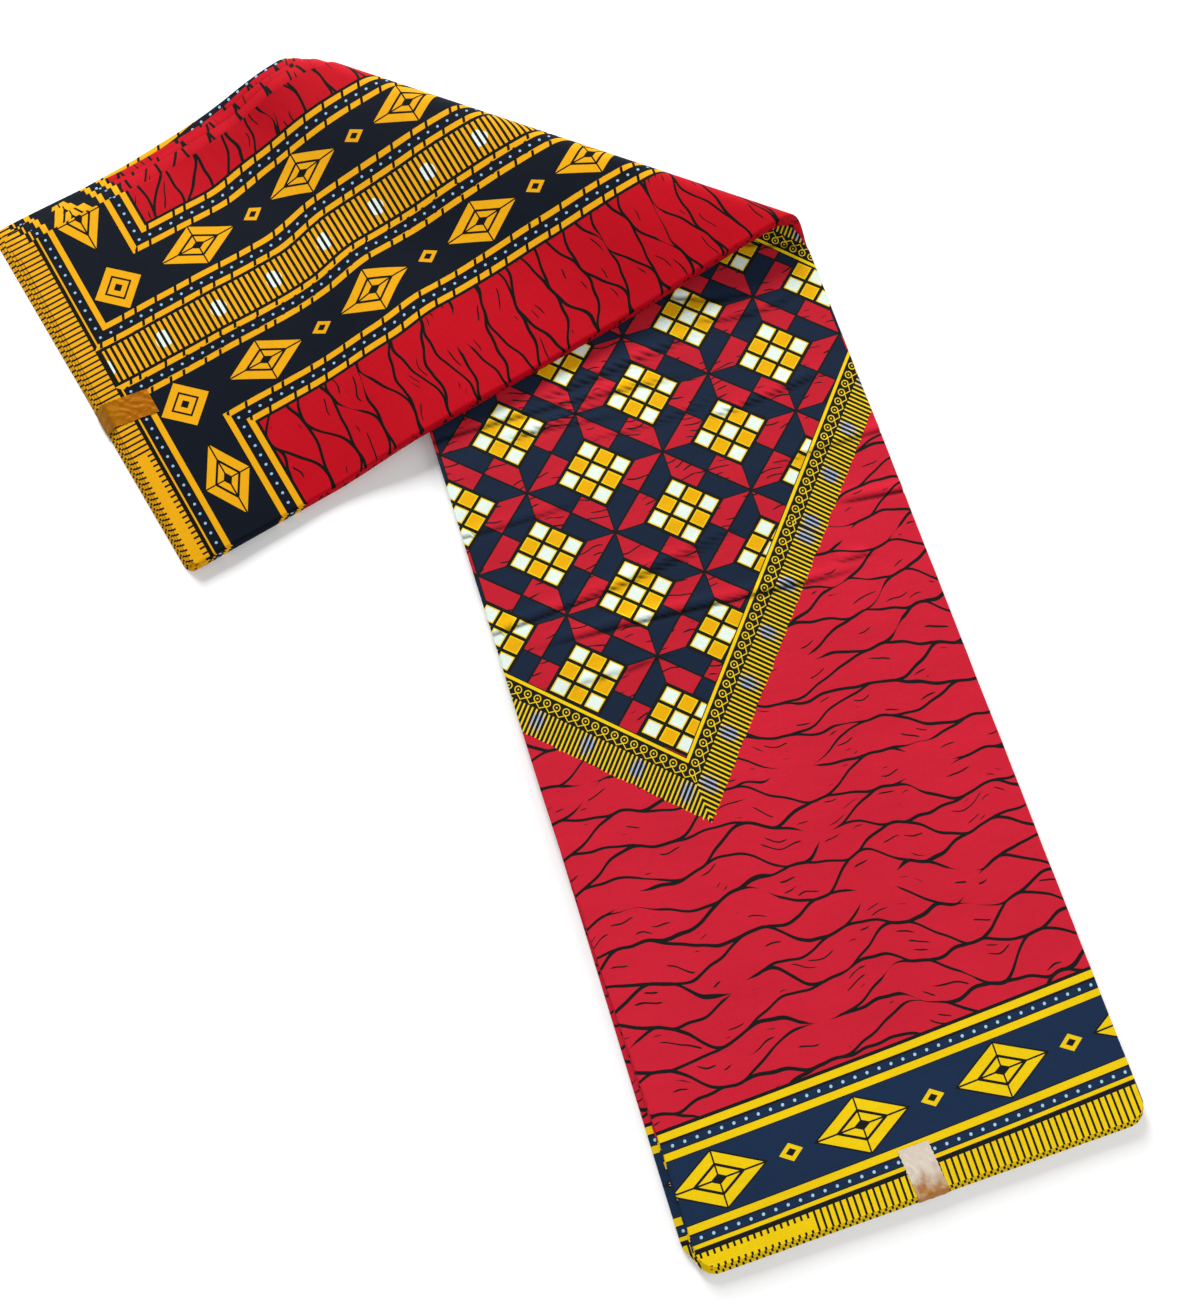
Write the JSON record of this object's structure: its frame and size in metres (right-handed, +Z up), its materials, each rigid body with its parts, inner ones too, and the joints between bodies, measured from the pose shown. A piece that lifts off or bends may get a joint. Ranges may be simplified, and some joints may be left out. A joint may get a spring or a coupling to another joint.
{
  "type": "folded wax print fabric",
  "caption": "Length of printed cotton folded into a flat layered strip and turned over once along a slanting fold, lying on a surface.",
  "frame": {"origin": "middle of the whole outline seen from above, on the surface that the cloth lies on", "axes": "+Z up from the surface; +Y away from the viewer, roughly from the lower stretch's front end towards the slanting fold; +X to the right"},
  "size_m": [0.7888, 0.8388, 0.0302],
  "materials": {
    "printed_cotton": "printed wax cotton, red ground with yellow, navy and white, soft sheen",
    "printed_cotton_reverse": "printed wax cotton seen from its other face, deeper colours",
    "gold_foil": "creased gold foil, bare",
    "pale_foil": "silver to copper foil, bare"
  },
  "bodies": {
    "root": {"lower_stretch": "printed_cotton", "turned_fold": "printed_cotton_reverse", "upper_stretch": "printed_cotton_reverse", "gold_seal": "gold_foil", "silver_seal": "pale_foil"}
  },
  "joints": []
}
